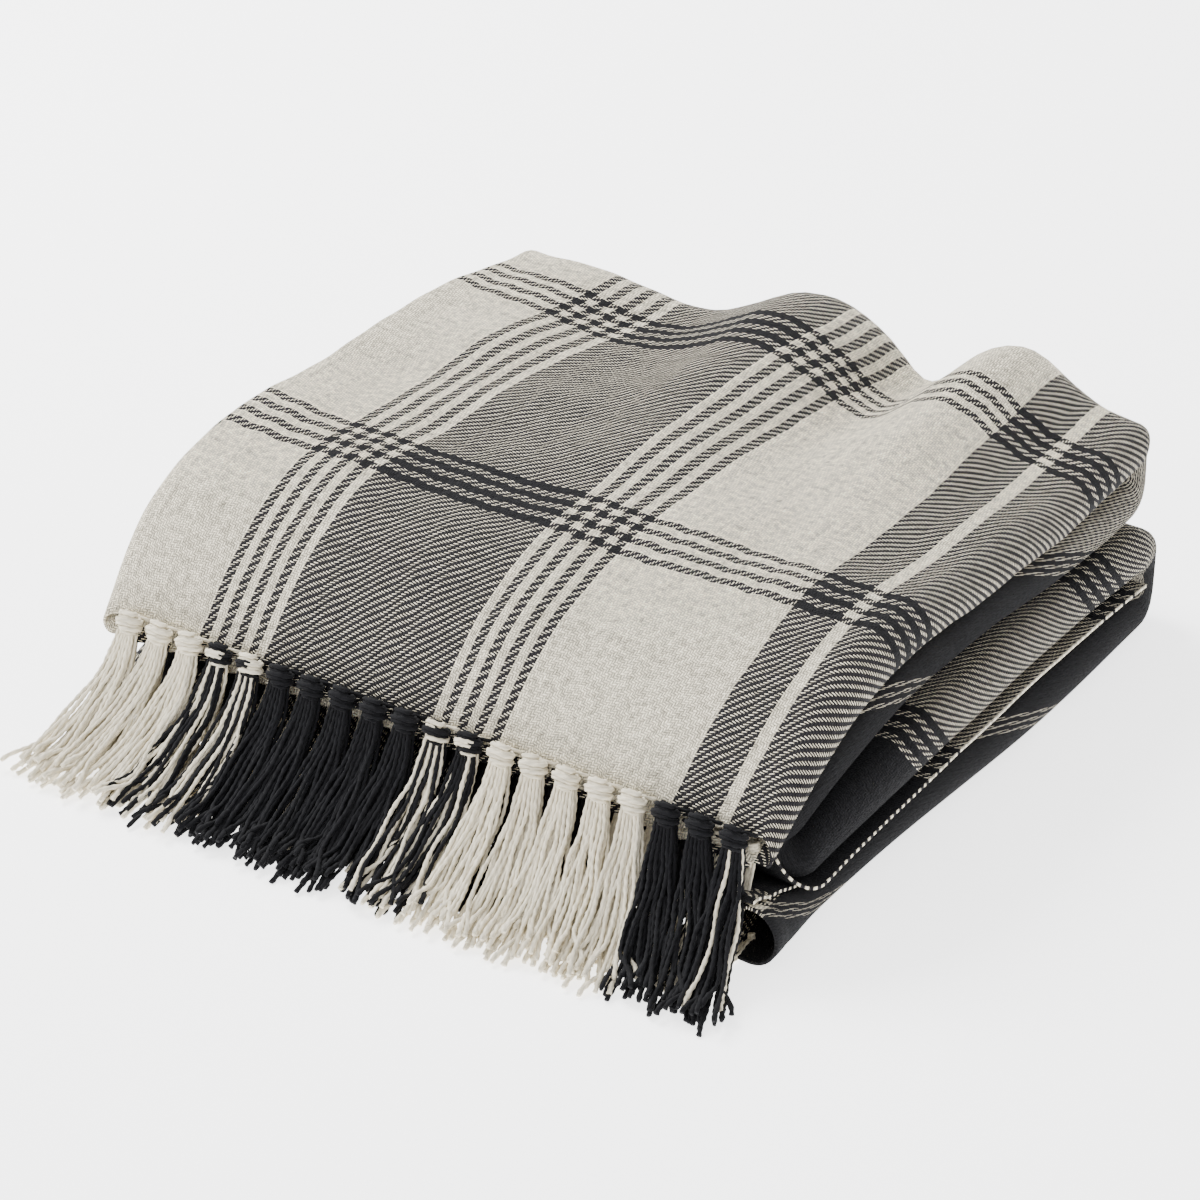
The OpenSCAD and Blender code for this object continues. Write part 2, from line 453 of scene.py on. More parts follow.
@dataclass(frozen=True)
class PlaidCloth(CottonFinish):
    """Matt brushed cotton twill in the throw's plaid, a little rougher where the nap is dark."""

    name: str = "plaid_cloth"
    roughness: float = 0.92
    sheen_roughness: float = 0.6
    bump_strength: float = 0.9
    relief: float = 0.0020
    fuzz_roughness: float = 0.05
    weave: Twill = Twill()

    def material(self) -> Material:
        """Builds the material."""
        made, n, shader = new_material(self.name)
        uv = n.add("ShaderNodeUVMap", uv_map="Weave")
        weave = n.add("ShaderNodeGroup", node_tree=self.weave.group())
        n.put(uv.outputs[0], weave.inputs["Cloth"])
        rough = n.math("MULTIPLY_ADD", weave.outputs["Fuzz"], self.fuzz_roughness, self.roughness)
        self.surface(n, shader, weave, rough)
        return made


@dataclass(frozen=True)
class PliedCotton(CottonFinish):
    """Soft two-ply cotton yarn, whose dye comes from each yarn's own darkness."""

    ply: Ply = Ply()

    def material(self) -> Material:
        """Builds the material."""
        made, n, shader = new_material(self.name)
        uv = n.add("ShaderNodeUVMap", uv_map="Yarn")
        yarn = n.add("ShaderNodeGroup", node_tree=self.ply.group())
        n.put(uv.outputs[0], yarn.inputs["Along"])
        for label in ("darkness", "tone"):
            own = n.add("ShaderNodeAttribute", attribute_name=label)
            n.put(own.outputs["Fac"], yarn.inputs[label.capitalize()])
        self.surface(n, shader, yarn, self.roughness)
        return made


# ---- the shape of the stack


@dataclass(frozen=True)
class Ridge:
    """A long soft ridge or furrow on the top of the stack, which grows towards the back."""

    x_front: float
    x_back: float
    width: float
    height: float
    starts: float


@dataclass(frozen=True)
class Ripple:
    """A shallow unevenness of two crossed waves, each with its rate over x, over y, and its start."""

    height: float
    first: Triple
    second: Triple

    def at(self, x: Array, y: Array) -> Array:
        """Its height at each place."""
        (a, b, c), (d, e, f) = self.first, self.second
        return self.height * np.sin(a * x + b * y + c) * np.sin(d * x + e * y + f)


@dataclass
class StackShape:
    """The height of the folded stack, and where its edges are."""

    left: float
    right: float
    edge_y: float
    front_y: float
    back_y: float
    edge_h: float = 0.068
    crown_h: float = 0.1475
    rise: float = 0.135
    roundness: float = 2.3
    ridge_growth: float = 1.15
    flat_edge: float = 0.05
    back_inset: float = 0.012
    back_skew: float = 0.021
    ridges: tuple[Ridge, ...] = (
        Ridge(-0.200, -0.165, 0.040, 0.004, 0.00),
        Ridge(-0.120, -0.080, 0.034, -0.009, 0.02),
        Ridge(-0.010, 0.005, 0.045, 0.023, -0.08),
        Ridge(0.080, 0.075, 0.026, -0.019, 0.02),
        Ridge(0.110, 0.135, 0.036, 0.024, -0.02),
        Ridge(0.220, 0.210, 0.040, -0.014, -0.12),
    )
    ripples: tuple[Ripple, ...] = (
        Ripple(0.0024, (31.0, 17.0, 0.6), (-11.0, 23.0, 1.1)),
        Ripple(0.0014, (67.0, -29.0, 2.0), (19.0, 41.0, 0.0)),
        Ripple(0.0005, (131.0, 83.0, 0.0), (-71.0, 97.0, 0.4)),
    )

    def back_fold(self, x: Array) -> Array:
        """Where the back folds reach at each place across the stack: further back on the right."""
        across = smooth((x - self.left) / (self.right - self.left))
        return self.back_y - self.back_inset + self.back_skew * across

    def height(self, x: Array, y: Array) -> Array:
        """Height of the whole stack over the floor at each place, in metres."""
        t = np.clip((y - self.edge_y) / self.rise, 0.0, 1.0)
        h = self.edge_h + (self.crown_h - self.edge_h) * (1.0 - (1.0 - t) ** self.roundness)
        along = np.clip((y - self.edge_y) / (self.back_y - self.edge_y), 0.0, 1.0)
        for ridge in self.ridges:
            centre = ridge.x_front + (ridge.x_back - ridge.x_front) * along
            grown = smooth((y - ridge.starts) / (self.back_y - ridge.starts) * self.ridge_growth)
            h = h + ridge.height * grown * bell((x - centre) / ridge.width)
        ripple = sum(wave.at(x, y) for wave in self.ripples)
        return h + ripple * smooth((y - self.edge_y) / self.flat_edge)


LEVELS_EVEN = np.array([0.0, 0.25, 0.50, 0.75, 1.0])
LEVELS_FRONT_RIGHT = np.array([0.0, 0.20, 0.44, 0.68, 1.0])
BAND_MIDDLE = {0: (0.83, 0.50, 0.17), 1: (0.17, 0.50, 0.83)}
BAND_RIGHT = {0: (0.97, 0.16, 0.05), 1: (0.04, 0.85, 0.95)}
BAND_LEFT = {0: (0.95, 0.82, 0.05), 1: (0.05, 0.17, 0.95)}


def folded_lines(plies: int, spots: Array, fold_steps: int) -> tuple[Array, ...]:
    """The grid lines of a strip that is folded to and fro.

    Args:
        plies: how many plies the strip makes.
        spots: where the lines lie along each ply, from 0 to 1.
        fold_steps: how many steps go round each fold.

    Returns:
        The weight of each ply in each line, how far along the ply the line is, how far into a fold
        it is (0 to 1), and which end that fold is on (-1 or 1, and 0 outside the folds).
    """
    weight, along, swell, side = [], [], [], []
    for ply in range(plies):
        forward = ply % 2 == 0
        for value in spots if forward else spots[::-1]:
            weight.append(np.eye(plies)[ply])
            along.append(value)
            swell.append(0.0)
            side.append(0.0)
        if ply == plies - 1:
            break
        for k in range(1, fold_steps):
            a = math.pi * k / fold_steps
            row = np.zeros(plies)
            row[ply], row[ply + 1] = (1 + math.cos(a)) / 2, (1 - math.cos(a)) / 2
            weight.append(row)
            along.append(1.0 if forward else 0.0)
            swell.append(math.sin(a))
            side.append(1.0 if forward else -1.0)
    return np.array(weight), np.array(along), np.array(swell), np.array(side)


@dataclass
class FoldedCloth:
    """One cloth, folded in three across and in four along, so that twelve plies lie on each other.

    A wave is its height, its rate along y and its phase. A change that is spread out is its size,
    where it starts or has its middle, and how far it reaches.
    """

    shape: StackShape
    first_knot: float
    knot_pitch: float
    flat: Pair = (1.30, 1.70)
    thickness: float = 0.0017
    plies: int = 3
    layers: int = 4
    ply_points: int = 58
    layer_points: int = 74
    side_fold_points: int = 15
    end_fold_points: int = 17
    crowding: float = 0.35
    roll_places: Pair = (0.45, 0.86)
    skew_kept: float = 0.75
    edge_zone: float = 0.060
    low_corner: Triple = (0.06, 0.02, 0.12)
    fold_inset: float = 0.018
    back_inset: float = 0.031
    right_inset: float = 0.014
    left_inset: float = 0.010
    roll_insets: Four = (-0.006, 0.003, -0.009, -0.010)
    selvedge_reach: Four = (-0.006, -0.006, 0.015, 0.002)
    right_wave: Triple = (0.0022, 19.0, 4.0)
    left_wave: Triple = (0.0015, 23.0, 2.0)
    inner_wave: Triple = (0.0012, 27.0, 9.0)
    left_drawn_in: Triple = (0.014, 0.08, 0.15)
    left_bulge: Triple = (0.009, -0.10, 0.09)
    foot_reach: float = 0.018
    foot_corner: Triple = (0.022, 0.17, 0.04)
    foot_puff: Pair = (2.1, 0.034)
    side_fullness: float = 0.95
    floor_gap: float = 0.0001
    scallop: Pair = (0.0022, 0.007)
    piece: Piece | None = None

    def level(self, layer: int, band: Array, x: Array, y: Array) -> Array:
        """The share of the stack's height, from the floor up, at which a ply of a layer lies, top layer 0."""
        from_x, from_y, reach = self.low_corner
        corner = smooth((x - from_x) / reach) * smooth((from_y - y) / reach)
        k = self.layers - 1 - layer
        even, lowered = LEVELS_EVEN[k:k + 2], LEVELS_FRONT_RIGHT[k:k + 2]
        low, high = (a + (b - a) * corner for a, b in zip(even, lowered))
        return low + (high - low) * band

    def band(self, ply: int, layer: int, x: Array) -> Array:
        """How high in its layer a ply lies, from 0 to 1, at each place across the stack."""
        kind = layer % 2
        middle, right, left = (table[kind][ply] for table in (BAND_MIDDLE, BAND_RIGHT, BAND_LEFT))
        to_right = smooth((x - (self.shape.right - self.edge_zone)) / self.edge_zone)
        to_left = smooth(((self.shape.left + self.edge_zone) - x) / self.edge_zone)
        return middle + (right - middle) * to_right + (left - middle) * to_left

    def in_foot_corner(self, x: Array) -> Array:
        """How far into the right corner of the bottom layer each place across is, from 0 to 1."""
        _, start, reach = self.foot_corner
        return smooth((x - start) / reach)

    def plan(self, cw: Array, ca: Array, rw: Array, ra: Array) -> tuple[Array, ...]:
        """Where the points of the cloth lie from above, before the folds swell.

        Args:
            cw: the weight of each ply in each column.
            ca: how far across the stack each column is.
            rw: the weight of each layer in each row.
            ra: how far along the stack each row is.

        Returns:
            Each point's x and y, and each column's y at the end of the bottom layer.
        """
        shape = self.shape
        layer_w = rw[:, None, :]
        fold_front = shape.front_y + self.fold_inset
        rough_x = shape.left + (shape.right - shape.left) * ca[None, :]
        foot_y = shape.front_y - self.foot_reach - self.foot_corner[0] * self.in_foot_corner(rough_x)
        starts = np.array([shape.edge_y, fold_front, fold_front, 0.0])
        front = (rw * starts[None, :]).sum(1)[:, None] + rw[:, 3:] * foot_y
        y = front + (shape.back_fold(rough_x) - self.back_inset - front) * ra[:, None]
        right = shape.right - self.right_inset - (layer_w * np.array(self.roll_insets)).sum(2)
        height, rate, phase = self.right_wave
        right = right + height * np.sin(rate * y + phase * layer_w @ np.arange(4.0))
        height, rate, phase = self.left_wave
        left = shape.left + self.left_inset + height * np.sin(rate * y + phase)
        size, start, reach = self.left_drawn_in
        left = left + size * smooth((y - start) / reach)
        size, middle, reach = self.left_bulge
        left = left - size * bell((y - middle) / reach)
        selvedge = cw[None, :, 2] * (rw @ np.array(self.selvedge_reach))[:, None]
        x = left + (right + selvedge - left) * ca[None, :]
        height, rate, phase = self.inner_wave
        x = x + height * np.sin(rate * y + phase * x) * np.sin(math.pi * ca)[None, :]
        return x, y, foot_y

    def heights(self, x: Array, y: Array, foot_y: Array) -> Array:
        """How high every ply of every layer would lie, as layers by plies by rows by columns."""
        heights = np.zeros((self.layers, self.plies) + y.shape)
        stack = self.shape.height(x, y)
        puff, reach = self.foot_puff
        for layer in range(self.layers):
            for ply in range(self.plies):
                heights[layer, ply] = stack * self.level(layer, self.band(ply, layer, x), x, y)
        heights[-1] *= 1 + puff * bell((y - foot_y) / reach) * self.in_foot_corner(x)
        return heights

    def positions(self) -> tuple[Array, Array]:
        """Where every point of the cloth's middle surface lies.

        Returns:
            The points as rows by columns by 3, and each one's place on the flat cloth, by 2.
        """
        s = np.linspace(0.0, 1.0, self.ply_points)
        s = 0.5 - 0.5 * np.cos(math.pi * s) * self.crowding - (1 - self.crowding) * (0.5 - s)
        cw, ca, cs, cside = folded_lines(self.plies, s, self.side_fold_points)
        s = np.linspace(0.0, 1.0, self.layer_points)
        rw, ra, rs, rside = folded_lines(self.layers, s, self.end_fold_points)
        x, y, foot_y = self.plan(cw, ca, rw, ra)
        heights = self.heights(x, y, foot_y)
        mixed = np.einsum("rl,cp,lprc->rc", rw, cw, heights)
        by_ply = np.einsum("rl,lprc->prc", rw, heights)
        by_layer = np.einsum("cp,lprc->lrc", cw, heights)
        right, left = np.abs(by_ply[0] - by_ply[1]), np.abs(by_ply[1] - by_ply[2])
        roll = np.where(cside[None, :] > 0, right, left) / 2
        turn = np.zeros_like(y)
        for layer in range(self.layers - 1):
            pair = rw[:, layer] * rw[:, layer + 1] > 0
            turn[pair] = (np.abs(by_layer[layer] - by_layer[layer + 1]) / 2)[pair]
        x = x + cside[None, :] * cs[None, :] * roll * self.side_fullness
        y = y + rside[:, None] * rs[:, None] * turn
        z = np.maximum(mixed, self.thickness / 2 + self.floor_gap)
        depth, reach = self.scallop
        near_edge = (rw[:, 0] > 0.99)[:, None] * bell((y - self.shape.edge_y) / reach)
        y = y - depth * near_edge * np.cos(2 * math.pi * (x - self.first_knot) / self.knot_pitch)
        points = np.stack([x, y, z], -1)
        return points, self.flat_places(points)

    def flat_places(self, points: Array) -> Array:
        """Each folded point's place on the flat cloth, in metres, from the distances along it."""
        du = np.linalg.norm(np.diff(points, axis=1), axis=2)
        dv = np.linalg.norm(np.diff(points, axis=0), axis=2)
        arc = np.concatenate([np.zeros((len(points), 1)), np.cumsum(du, 1)], 1)
        to_roll = self.ply_points + self.side_fold_points // 2
        marks = [0, to_roll, to_roll + self.ply_points + self.side_fold_points - 1, arc.shape[1] - 1]
        places = np.array([0.0, *self.roll_places, self.flat[0]])
        u = np.stack([np.interp(row, row[marks], places) for row in arc])
        v = np.concatenate([np.zeros((1, points.shape[1])), np.cumsum(dv, 0)], 0)
        v = v.mean(1, keepdims=True) + self.skew_kept * (v - v.mean(1, keepdims=True))
        return np.stack([u, v], -1)

    def build(self) -> Piece:
        """Makes the cloth's mesh, with its thickness, as one piece."""
        points, places = self.positions()
        rows, cols = points.shape[:2]
        index = np.arange(rows * cols).reshape(rows, cols)
        quads = np.stack([index[:-1, :-1], index[:-1, 1:], index[1:, 1:], index[1:, :-1]], -1)
        mesh = bpy.data.meshes.new("woven_cloth")
        mesh.from_pydata(points.reshape(-1, 3).tolist(), [], quads.reshape(-1, 4).tolist())
        layer = mesh.uv_layers.new(name="Weave")
        loops = np.zeros(len(mesh.loops), int)
        mesh.loops.foreach_get("vertex_index", loops)
        layer.data.foreach_set("uv", places.reshape(-1, 2)[loops].ravel())
        shade_smooth(mesh)
        self.piece = new_object("woven_cloth", mesh)
        thick = self.piece.modifiers.new("thickness", "SOLIDIFY")
        thick.thickness = self.thickness
        thick.offset = 0.0
        log.info("woven cloth: %d by %d points, %.3f by %.3f m on the flat", rows, cols,
                 places[..., 0].max(), places[..., 1].max())
        return self.piece

    def dress(self, with_pieces: list[Piece]) -> None:
        """Gives the cloth its finish and its body.

        Args:
            with_pieces: the pieces that are part of the same cloth; not used.
        """
        self.piece.data.materials.append(PlaidCloth().material())
        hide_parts("woven_panel")
        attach(self.piece, "panel")


# ---- yarns


@dataclass
class YarnBundle:
    """Collects yarns, and makes them into one mesh."""

    sides: int = 8
    twist_length: float = 0.011
    uv_shift: float = 3.7
    verts: list[Array] = field(default_factory=list)
    faces: list[Array] = field(default_factory=list)
    uvs: list[Array] = field(default_factory=list)
    darkness: list[Array] = field(default_factory=list)
    tones: list[Array] = field(default_factory=list)
    count: int = 0

    def add(
        self, path: Array, radius: Array, dark: float, tone: float, ref: Array, lobes: float, turn: float
    ) -> None:
        """Adds one yarn, as a tube that is drawn in between its two plies.

        Args:
            path: the yarn's centreline, one point a row.
            radius: its radius at each point.
            dark: 0 for cream yarn and 1 for black.
            tone: a small change of its lightness, from 0 to 1.
            ref: a direction at each point, or for all of them, that is never along the yarn.
            lobes: how deep the groove between the plies is, as a share of the radius.
            turn: where the plies' twist starts, in radians.
        """
        n, k = len(path), self.sides
        run = unit(np.gradient(path, axis=0))
        ref = np.broadcast_to(ref, path.shape)
        a = unit(ref - (ref * run).sum(1, keepdims=True) * run)
        b = np.cross(run, a)
        length = np.concatenate([[0.0], np.cumsum(np.linalg.norm(np.diff(path, axis=0), axis=1))])
        angle = np.linspace(0.0, 2 * math.pi, k, endpoint=False)[None, :]
        phase = (turn + length * 2 * math.pi / self.twist_length)[:, None]
        r = radius[:, None] * (1.0 + lobes * np.cos(2 * (angle - phase)))
        ring = path[:, None, :] + r[..., None] * (
            np.cos(angle)[..., None] * a[:, None, :] + np.sin(angle)[..., None] * b[:, None, :]
        )
        index = np.arange(n * k).reshape(n, k) + self.count
        nxt = np.roll(index, -1, axis=1)
        quads = np.stack([index[:-1], nxt[:-1], nxt[1:], index[1:]], -1).reshape(-1, 4)
        around = np.arange(k + 1) / k
        u0, u1 = length[:-1, None], length[1:, None]
        corner = np.stack([
            np.stack([np.broadcast_to(u, (n - 1, k)), np.broadcast_to(v, (n - 1, k))], -1)
            for u, v in ((u0, around[:-1]), (u0, around[1:]), (u1, around[1:]), (u1, around[:-1]))
        ], 2)
        corner[..., 0] += tone * self.uv_shift
        self.verts.append(ring.reshape(-1, 3))
        self.faces.append(quads)
        self.uvs.append(corner.reshape(-1, 2))
        self.darkness.append(np.full(n * k, dark))
        self.tones.append(np.full(n * k, tone))
        self.count += n * k
        self.cap(index[0][::-1], tone)
        self.cap(index[-1], tone)

    def cap(self, ring: Array, tone: float) -> None:
        """Closes one end of a yarn with quads across its ring."""
        k = len(ring)
        half = k // 2
        quads = [[ring[i], ring[i + 1], ring[k - 2 - i], ring[(k - 1 - i) % k]] for i in range(half - 1)]
        self.faces.append(np.array(quads))
        self.uvs.append(np.full((len(quads) * 4, 2), tone))

    def piece(self, name: str) -> Piece:
        """Makes the mesh of all the yarns, as a piece of that name."""
        mesh = bpy.data.meshes.new(name)
        mesh.from_pydata(np.concatenate(self.verts).tolist(), [], np.concatenate(self.faces).tolist())
        layer = mesh.uv_layers.new(name="Yarn")
        layer.data.foreach_set("uv", np.concatenate(self.uvs).ravel())
        for label, values in (("darkness", self.darkness), ("tone", self.tones)):
            attribute = mesh.attributes.new(label, "FLOAT", "POINT")
            attribute.data.foreach_set("value", np.concatenate(values).astype(np.float32))
        shade_smooth(mesh)
        return new_object(name, mesh)


class Mix(Enum):
    """Which yarns a tassel is made of."""

    CREAM = "cream_cotton"
    MIXED = "mixed_cotton"
    BLACK = "black_cotton"

    def dark_share(self, mixed: float, black: float = 1.0) -> float:
        """The share of black yarns, with what it is in mixed and in black tassels."""
        return {Mix.CREAM: 0.0, Mix.MIXED: mixed, Mix.BLACK: black}[self]


@dataclass
class Tassel:
    """A front tassel: warp yarns tied in an overhand knot, whose ends lie forward on the floor."""

    number: int
    knot: Array
    reach: float
    fan: float
    mix: Mix
    yarns: int = 24
    points: int = 64
    yarn_r: float = 0.00112
    spread: float = 0.0135
    uneven: float = 0.05
    sway: float = 0.0011
    stray_tip: Pair = (0.0042, 0.0035)
    wraps: int = 11
    wrap_r: float = 0.0040
    wrap_yarn_r: float = 0.00125
    wrap_oval: Pair = (0.0021, 0.0040)
    mixed_share: float = 0.55
    last_black_share: float = 0.93
    last_blacks: int = 2
    yarn_step: float = 0.618
    tassel_step: float = 0.37

    def darkness(self, k: int) -> float:
        """The dye of yarn k: 0 cream, 1 black. Mixed tassels and the last black ones hold both."""
        black = self.last_black_share if self.number > len(FRONT_MIXES) - self.last_blacks else 1.0
        place = (k * self.yarn_step + self.number * self.tassel_step) % 1.0
        return float(place < self.mix.dark_share(self.mixed_share, black))

    def build(self) -> Piece:
        """Makes the tassel's mesh as one piece."""
        rng = np.random.default_rng(700 + self.number)
        bundle = YarnBundle()
        self.add_skirt(bundle, rng)
        self.add_wrap(bundle, rng)
        return bundle.piece(f"tassel_{self.number:02d}_yarns")

    def add_skirt(self, bundle: YarnBundle, rng: np.random.Generator) -> None:
        """Adds the loose yarns that hang from the knot."""
        drop = self.knot[2]
        turn = np.array([math.sin(self.fan), -math.cos(self.fan), 0.0])
        wide = np.array([math.cos(self.fan), math.sin(self.fan), 0.0])
        lean = rng.normal(0.0, self.uneven)
        t = np.linspace(0.0, 1.0, self.points)
        for k in range(self.yarns):
            across = place_across(k, self.yarns)
            layer = [0.0, 1.0, 0.5, -0.5][k % 4]
            length = self.reach * (1.0 + rng.normal(0.0, self.uneven)) - 0.003 * layer
            width = across * self.spread * (1 + 0.2 * rng.random()) + length * lean
            base = wide * (across * 0.0050) + turn * (0.0022 * layer)
            control = np.array([
                base,
                wide * (across * 0.0088) + turn * (0.006 + 0.005 * layer) - UP * drop * 0.42,
                wide * (width * 0.75) + turn * length * 0.42 - UP * drop * (0.70 - 0.10 * layer),
                wide * width + turn * length - UP * (drop - 0.0022 - 0.0040 * layer),
            ])
            path = bezier(control, t) + self.knot
            wave = rng.uniform(0, 2 * math.pi, 3)
            sway = self.sway * smooth(t * 2)
            path += wide * (sway * np.sin(t * rng.uniform(9, 15) + wave[0]))[:, None]
            path += UP * (0.6 * sway * np.sin(t * rng.uniform(8, 14) + wave[1]))[:, None]
            tip = smooth((t - 0.84) / 0.16)
            path += wide * (tip * rng.normal(0, self.stray_tip[0]))[:, None]
            path += UP * (tip * abs(rng.normal(0, self.stray_tip[1])))[:, None]
            path[:, 2] = np.maximum(path[:, 2], self.yarn_r * 1.15)
            swell = 1.0 + 0.30 * bell((t - 0.97) / 0.05) + 0.1 * np.sin(t * 40 + wave[2])
            radius = self.yarn_r * (0.75 + 0.25 * smooth(t * 4)) * swell
            ref = np.array([1.0, 0.3, 0.0])
            bundle.add(path, radius, self.darkness(k), rng.random(), ref, 0.22, wave[2])

    def add_wrap(self, bundle: YarnBundle, rng: np.random.Generator) -> None:
        """Adds the yarns that wrap round the bundle as its knot."""
        tilt = rng.normal(0.25, 0.12)
        axis = np.array([math.sin(tilt), 0.62, 1.0])
        axis = axis / np.linalg.norm(axis)
        e1 = unit(np.cross(axis, np.array([0.0, 1.0, 0.2])))
        e2 = np.cross(axis, e1)
        t = np.linspace(-0.16, 1.16, 50)
        angle = 2 * math.pi * t + math.pi * 0.5 + rng.uniform(-0.3, 0.3)
        radial = np.cos(angle)[:, None] * e1 + np.sin(angle)[:, None] * e2
        tuck = 1 - 0.75 * smooth((np.abs(t - 0.5) - 0.5) / 0.16)
        radius = np.full(len(t), self.wrap_yarn_r)
        for k in range(self.wraps):
            a = 2 * math.pi * k / self.wraps
            twist = a + 1.6 * t
            flat = 1.0 if k % 3 else 0.45
            out = self.wrap_oval[0] * flat * np.cos(twist)
            rise = self.wrap_oval[1] * flat * np.sin(twist) + 0.0030 * (t - 0.5)
            ring = (self.wrap_r * tuck + out)[:, None] * radial * np.array([1.30, 0.95, 1.0])
            ring = ring + rise[:, None] * axis
            bundle.add(self.knot + ring, radius, self.darkness(k // 3), rng.random(), axis, 0.15, a)

    def dress(self, piece: Piece, finish: Material) -> None:
        """Gives the tassel its finish and its body."""
        node = f"tassel_{self.number:02d}"
        piece.data.materials.append(finish)
        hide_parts(node)
        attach(piece, node + "_body")


@dataclass
class HiddenRow:
    """A row of tassels behind the front row, on an inner ply or on the end of the bottom layer."""

    node: str
    ply: int
    knots_x: Array
    on_floor: bool
    shape: StackShape
    yarns: int = 9
    points: int = 30
    yarn_r: float = 0.0009
    floor_knot_r: float = 0.0025
    hanging_knot_r: float = 0.004
    spread: float = 0.0065
    sway: float = 0.0009
    warps_counted: int = 15

    def build(self, seed: int) -> Piece:
        """Makes the row's mesh as one piece, with small random changes that start from the seed."""
        rng = np.random.default_rng(seed)
        low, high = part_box(self.node)
        middle = (low.x + high.x) / 2
        bundle = YarnBundle(sides=6)
        r = self.floor_knot_r if self.on_floor else self.hanging_knot_r
        start = np.array([0.0, high.y - r, high.z - r])
        reach = start[1] - low.y
        t = np.linspace(0.0, 1.0, self.points)
        for x in self.knots_x + middle:
            share = self.dark_share(x)
            lean = rng.normal(0.0, 0.06)
            for k in range(self.yarns):
                across = place_across(k, self.yarns)
                length = reach * (1.0 + rng.normal(0.0, 0.04))
                lift = 0.0012 + 0.0013 * (k % 2)
                width = across * self.spread + lean * length
                if self.on_floor:
                    control = np.array([
                        [across * 0.001, 0.0, start[2] * 0.8], [across * 0.002, -0.012, lift * 1.4],
                        [width * 0.6, -length * 0.5, lift], [width, -length, lift],
                    ])
                else:
                    control = np.array([
                        [across * 0.001, 0.0, start[2]], [across * 0.003, -0.004, start[2] - 0.024],
                        [width * 0.7, -length * 0.45, 0.012 + lift], [width, -length, 0.003 + lift],
                    ])
                path = bezier(control, t) + np.array([x, start[1], 0.0])
                wave = rng.uniform(0, 6.28)
                path[:, 0] += self.sway * smooth(t * 2) * np.sin(t * 12 + wave)
                path[:, 2] = np.maximum(path[:, 2], self.yarn_r)
                dark = float(rng.random() < share)
                radius, ref = np.full(len(t), self.yarn_r), np.array([1.0, 0.2, 0.0])
                bundle.add(path, radius, dark, rng.random(), ref, 0.2, wave)
            self.add_knot(bundle, np.array([x, start[1], start[2]]), r, share, rng)
        return bundle.piece(self.node + "_yarns")

    def dark_share(self, x: float) -> float:
        """The share of dark warp yarns in the tassel at x, from the stripes of the ply that it ends."""
        wide = self.shape.right - self.shape.left
        across = x - self.shape.left
        u = {0: across, 1: 2 * wide - across, 2: 2 * wide + across}[self.ply] / Twill.pitch
        half = self.warps_counted / 2
        return WARP.dark_share(u - half, u + half)

    def add_knot(
        self, bundle: YarnBundle, at: Array, r: float, share: float, rng: np.random.Generator
    ) -> None:
        """Adds one small knot of three wraps.

        Args:
            bundle: what its yarns go into.
            at: the knot's middle.
            r: the knot's radius.
            share: the share of dark yarns.
            rng: where its random draws come from.
        """
        t = np.linspace(0.0, 2 * math.pi * 1.05, 20)
        for k in range(3):
            rise = (k - 1) * r * 0.42 + 0.0004 * t
            ring = np.stack([np.cos(t) * r * 0.62, np.sin(t) * r * 0.55, rise], 1)
            bundle.add(at + ring, np.full(len(t), r * 0.34), float(rng.random() < share), rng.random(),
                       UP, 0.1, 0.0)

    def dress(self, piece: Piece, finish: Material) -> None:
        """Gives the row its finish and its body."""
        piece.data.materials.append(finish)
        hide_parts(self.node)
        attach(piece, "panel")


@dataclass
class EdgeYarns:
    """The warp yarns between the cloth's last weft and the front knots."""

    knots: list[Array]
    mixes: list[Mix]
    edge_y: float
    edge_z: float
    pitch: float
    yarns: int = 9
    yarn_r: float = 0.0010
    mixed_share: float = 0.5

    def build(self) -> Piece:
        """Makes the mesh of all the yarns that run into the knots, as one piece."""
        rng = np.random.default_rng(41)
        bundle = YarnBundle(sides=6)
        t = np.linspace(0.0, 1.0, 12)
        for knot, mix in zip(self.knots, self.mixes):
            share = mix.dark_share(self.mixed_share)
            for k in range(self.yarns):
                across = place_across(k, self.yarns)
                begin_x = knot[0] + across * self.pitch * 0.45
                begin = np.array([begin_x, self.edge_y + 0.003, self.edge_z - 0.001])
                inner = np.array([knot[0] + across * 0.0012, knot[1] + 0.002, knot[2] + 0.0015])
                control = np.array([
                    begin, begin + [0.0, -0.004, 0.0012], inner + [across * 0.002, 0.003, 0.002], inner,
                ])
                bundle.add(bezier(control, t), np.full(len(t), self.yarn_r), float(rng.random() < share),
                           rng.random(), UP, 0.2, rng.uniform(0, 6))
        return bundle.piece("edge_yarns")


# ---- the studio


@dataclass(frozen=True)
class Lamp:
    """A square area light: its name, where it stands, its side and its power in watts."""

    name: str
    at: Triple
    size: float
    power: float


